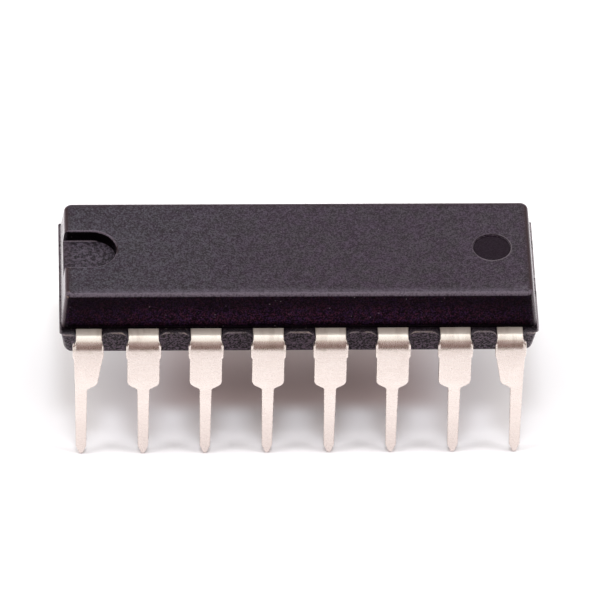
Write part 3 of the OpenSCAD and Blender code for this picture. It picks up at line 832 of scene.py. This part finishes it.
def lead_mesh(k, name):
    bm = bmesh.new()
    outline, hole = flat_outline(k)
    outline = outline if area(outline) > 0 else outline[::-1]
    hole = hole if area(hole) < 0 else hole[::-1]
    levels = edge_levels()
    bottom, top = [], []
    for loop in (outline, hole):
        lower, upper = stamped_edges(bm, loop, levels)
        bottom += lower
        top += upper
    for ring_highlight in (bottom, top):
        bmesh.ops.triangle_fill(bm, use_beauty=True, use_dissolve=False, edges=ring_highlight)
    cut_for_bending(bm, k)
    for vert in bm.verts:
        vert.co = with_ears(k, *vert.co) * MM
    bmesh.ops.recalc_face_normals(bm, faces=bm.faces)
    mesh = bpy.data.meshes.new(name)
    bm.to_mesh(mesh)
    bm.free()
    return mesh


def placed(mesh, n):
    """Where lead n stands: mirrored past the middle of its row and turned for the back row."""
    copy = mesh.copy()
    if (n - 1) % ROW >= ROW // 2:
        copy.transform(Matrix.Scale(-1, 4, (1, 0, 0)))
        copy.flip_normals()
    if n > ROW:
        copy.transform(Matrix.Rotation(math.pi, 4, "Z"))
    return copy


def weighted_normals(obj):
    weighted = obj.modifiers.new("weighted", "WEIGHTED_NORMAL")
    weighted.keep_sharp = True
    return weighted


def plated_lead(n, mesh):
    mesh.name = f"plated_lead_{n:02d}"
    mesh.materials.append(TIN)
    mesh.polygons.foreach_set("use_smooth", [True] * len(mesh.polygons))
    mesh.set_sharp_from_angle(angle=math.radians(SHARP_DEG))
    obj = bpy.data.objects.new(mesh.name, mesh)
    bpy.context.scene.collection.objects.link(obj)
    weighted_normals(obj).weight = 80
    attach(obj, "root")
    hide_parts(f"lead_{n:02d}")


formed_leads = [lead_mesh(k, f"formed_lead_{k}") for k in range(ROW // 2)]
for n in range(1, 2 * ROW + 1):
    i = (n - 1) % ROW
    plated_lead(n, placed(formed_leads[min(i, ROW - 1 - i)], n))


# The CAD nodes that stay: finish, and clean shading by modifiers
SOFT_EDGE_DEG = 25


def shading_group():
    g = bpy.data.node_groups.new("clean_shading", "GeometryNodeTree")
    for way in ("INPUT", "OUTPUT"):
        g.interface.new_socket("Geometry", in_out=way, socket_type="NodeSocketGeometry")
    start = g.nodes.new("NodeGroupInput")
    end = g.nodes.new("NodeGroupOutput")
    merge = g.nodes.new("GeometryNodeMergeByDistance")
    merge.inputs["Distance"].default_value = 1e-7
    faces = g.nodes.new("GeometryNodeSetShadeSmooth")
    faces.domain = "FACE"
    faces.inputs["Shade Smooth"].default_value = True
    edges = g.nodes.new("GeometryNodeSetShadeSmooth")
    edges.domain = "EDGE"
    angle = g.nodes.new("GeometryNodeInputMeshEdgeAngle")
    less = g.nodes.new("FunctionNodeCompare")
    less.data_type = "FLOAT"
    less.operation = "LESS_THAN"
    less.inputs[1].default_value = math.radians(SOFT_EDGE_DEG)
    g.links.new(start.outputs[0], merge.inputs["Geometry"])
    g.links.new(merge.outputs[0], faces.inputs["Geometry"])
    g.links.new(faces.outputs[0], edges.inputs["Geometry"])
    g.links.new(angle.outputs["Unsigned Angle"], less.inputs[0])
    g.links.new(less.outputs[0], edges.inputs["Shade Smooth"])
    g.links.new(edges.outputs[0], end.inputs[0])
    return g


SHADING = shading_group()


def dress(node, material):
    obj = nodes[node]
    obj.data.materials.clear()
    obj.data.materials.append(material)
    group = obj.modifiers.new("clean_shading", "NODES")
    group.node_group = SHADING
    weighted_normals(obj)


dress("body", EPOXY)
dress("die_paddle", FRAME_METAL)
dress("die_attach", ADHESIVE)
dress("die", SILICON)
for n in range(1, 2 * ROW + 1):
    dress(f"bond_wire_{n:02d}", GOLD)


# Floor: a plain pale sheet that fades out far from the object
FLOOR_RADIUS = 0.12
FLOOR_DROP = 0.00002


def mixed_shader(t, factor, a, b):
    n = add(t, "MixShader", None, Fac=factor)
    t.links.new(a.outputs[0], n.inputs[1])
    t.links.new(b.outputs[0], n.inputs[2])
    return n


def pale_floor():
    m, t = tree_of("pale_floor")
    p = millimetres(t)
    x, y = parts_of(t, p)[:2]
    base = mix(t, noise(t, p, 0.8, 3.0, 0.6), (0.93, 0.925, 0.93, 1), (0.95, 0.945, 0.95, 1))
    # Painted shade: the floor is a little darker and warmer under the body
    under_body_shade = times(t, ramp(t, y, -2.6, -1.4), ramp(t, y, 4.2, 0.6),
                  ramp(t, absolute(t, x), 7.5, 3.5))
    warm_shade = mix(t, ramp(t, y, -0.8, 1.2), (0.85, 0.730, 0.715, 1), (0.99, 0.865, 0.85, 1))
    base = mix(t, under_body_shade, base, warm_shade)
    diffuse = add(t, "BsdfDiffuse", None, Color=base)
    glow = add(t, "Emission", None, Color=(1.0, 1.0, 1.0, 1), Strength=0.015)
    lit = add(t, "AddShader")
    t.links.new(diffuse.outputs[0], lit.inputs[0])
    t.links.new(glow.outputs[0], lit.inputs[1])
    camera_ray = add(t, "LightPath").outputs["Is Camera Ray"]
    shown = mixed_shader(t, camera_ray, diffuse, lit)
    # From below the sheet is clear, so the underside can be looked at
    distance = add(t, "VectorMath", {"operation": "LENGTH"}, i0=p).outputs["Value"]
    narrow = stretched(t, p, (0.5, 1, 1))
    oval = add(t, "VectorMath", {"operation": "LENGTH"}, i0=narrow).outputs["Value"]
    below = add(t, "NewGeometry").outputs["Backfacing"]
    gone = blend(t, camera_ray, ramp(t, oval, 12.0, 27.0),
                 math_node(t, "MAXIMUM", ramp(t, distance, 60.0, 110.0), below))
    finish(t, mixed_shader(t, gone, shown, add(t, "BsdfTransparent")))
    return m


def floor_sheet():
    mesh = bpy.data.meshes.new("floor")
    bm = bmesh.new()
    bmesh.ops.create_circle(bm, cap_ends=True, segments=96, radius=FLOOR_RADIUS)
    bm.to_mesh(mesh)
    bm.free()
    obj = bpy.data.objects.new("floor", mesh)
    obj.location = (0, 0, -FLOOR_DROP)
    bpy.context.scene.collection.objects.link(obj)
    mesh.materials.append(pale_floor())


floor_sheet()


# World: white for the camera. For everything else a studio, whose colours are given by elevation
# in degrees: dim and warm low in front, bright overhead, and brightest high up behind.
FRONT_DOME = ((-90, (0.14, 0.09, 0.08)), (-8, (0.29, 0.205, 0.185)), (8, (0.35, 0.245, 0.225)),
              (18, (0.42, 0.31, 0.29)), (29, (0.55, 0.45, 0.435)), (43, (0.68, 0.575, 0.555)),
              (56, (0.78, 0.66, 0.60)), (64, (1.1, 1.05, 0.98)), (71, (1.42, 1.44, 1.38)),
              (82, (1.42, 1.45, 1.40)), (90, (1.4, 1.45, 1.42)))
BACK_DOME = ((-90, (1.0, 0.84, 0.87)), (-8, (1.0, 0.84, 0.87)), (8, (0.60, 0.54, 0.55)),
             (22, (0.50, 0.46, 0.46)), (36, (0.60, 0.595, 0.60)), (45, (1.22, 1.19, 1.17)),
             (51, (1.5, 1.5, 1.46)), (58, (2.4, 2.45, 2.35)), (63, (2.4, 2.45, 2.3)),
             (69, (1.95, 2.0, 1.9)), (75, (1.75, 1.75, 1.7)), (83, (1.45, 1.5, 1.45)),
             (90, (1.4, 1.45, 1.42)))
BRIGHTEST = 4.0
DOME_LEVEL = 0.86


def dome_ramp(t, up, levels):
    ramp_node = add(t, "ValToRGB", None, Fac=up)
    stops = ramp_node.color_ramp
    stops.interpolation = "LINEAR"
    for i, (degrees, colour) in enumerate(levels):
        spot = (math.sin(math.radians(degrees)) + 1) / 2
        if i in (0, len(levels) - 1):
            element = stops.elements[0 if i == 0 else -1]
            element.position = spot
        else:
            element = stops.elements.new(spot)
        element.color = tuple(c / BRIGHTEST for c in colour) + (1,)
    return ramp_node.outputs[0]


def studio_world():
    world = bpy.data.worlds.new("studio")
    bpy.context.scene.world = world
    world.use_nodes = True
    t = world.node_tree
    t.nodes.clear()
    y, z = parts_of(t, add(t, "TexCoord").outputs["Generated"])[1:]
    up = add(t, "Math", {"operation": "MULTIPLY_ADD"}, i0=z, i1=0.5, i2=0.5).outputs[0]
    front, back = dome_ramp(t, up, FRONT_DOME), dome_ramp(t, up, BACK_DOME)
    dome = mix(t, ramp(t, y, -0.12, 0.12), front, back)
    white = 1 / BRIGHTEST / DOME_LEVEL
    camera_ray = add(t, "LightPath").outputs["Is Camera Ray"]
    colour = mix(t, camera_ray, dome, (white, white, white, 1))
    light = add(t, "Background", None, Color=colour, Strength=BRIGHTEST * DOME_LEVEL)
    out = t.nodes.new("ShaderNodeOutputWorld")
    t.links.new(light.outputs[0], out.inputs["Surface"])


studio_world()


def direction(azimuth, elevation):
    """Way from the object to a place, with azimuth counted from the front towards +X."""
    a, e = math.radians(azimuth), math.radians(elevation)
    return Vector((math.sin(a) * math.cos(e), -math.cos(a) * math.cos(e), math.sin(e)))


LAMP_DISTANCE = 0.45


def soft_lamp(name, azimuth, elevation, size, power, colour):
    """Round lamp that lights matt surfaces and stays out of reflections."""
    data = bpy.data.lights.new(name, "AREA")
    data.shape = "DISK"
    data.size = size
    data.energy = power
    data.color = colour
    obj = bpy.data.objects.new(name, data)
    obj.location = direction(azimuth, elevation) * LAMP_DISTANCE
    obj.rotation_euler = obj.location.to_track_quat("Z", "Y").to_euler()
    obj.visible_camera = False
    obj.visible_glossy = False
    bpy.context.scene.collection.objects.link(obj)


soft_lamp("front_high", azimuth=0, elevation=78.5, size=0.09, power=0.41, colour=(0.93, 0.99, 1.08))
for name, azimuth in (("left_side", -82), ("right_side", 82)):
    soft_lamp(name, azimuth, elevation=38, size=0.16, power=0.68, colour=(1.0, 0.98, 1.02))


# Camera at the photograph's viewing angle, in degrees, metres and pixels of the photograph. It
# looks at a point AIM_DROP millimetres below the lead layer.
CAMERA_AZIMUTH, CAMERA_ELEVATION, CAMERA_ROLL = -2.969, 43.288, 1.782
CAMERA_DISTANCE = 0.33348
PHOTO_WIDTH = 600
FOCAL_PIXELS = 8112.5
MOVED_RIGHT, MOVED_DOWN = 3.55, 2.61
AIM_DROP = 1.0
SENSOR = 36.0


def camera():
    azimuth, roll = math.radians(CAMERA_AZIMUTH), math.radians(CAMERA_ROLL)
    back = direction(CAMERA_AZIMUTH, CAMERA_ELEVATION)
    level_right = Vector((math.cos(azimuth), math.sin(azimuth), 0))
    level_up = back.cross(level_right)
    right = math.cos(roll) * level_right + math.sin(roll) * level_up
    up = -math.sin(roll) * level_right + math.cos(roll) * level_up
    pixel = CAMERA_DISTANCE / FOCAL_PIXELS
    aim = Vector((0, 0, (LEAD_Z - AIM_DROP) * MM))
    aim += right * (MOVED_RIGHT * pixel) - up * (MOVED_DOWN * pixel)
    data = bpy.data.cameras.new("camera")
    data.sensor_width = SENSOR
    data.lens = FOCAL_PIXELS / PHOTO_WIDTH * SENSOR
    data.clip_start, data.clip_end = 0.01, 10
    obj = bpy.data.objects.new("camera", data)
    turned = Matrix((right, up, back)).transposed().to_4x4()
    obj.matrix_world = Matrix.Translation(aim + back * CAMERA_DISTANCE) @ turned
    bpy.context.scene.collection.objects.link(obj)
    bpy.context.scene.camera = obj


camera()
bpy.context.scene.view_settings.view_transform = "Standard"

bpy.context.view_layer.update()
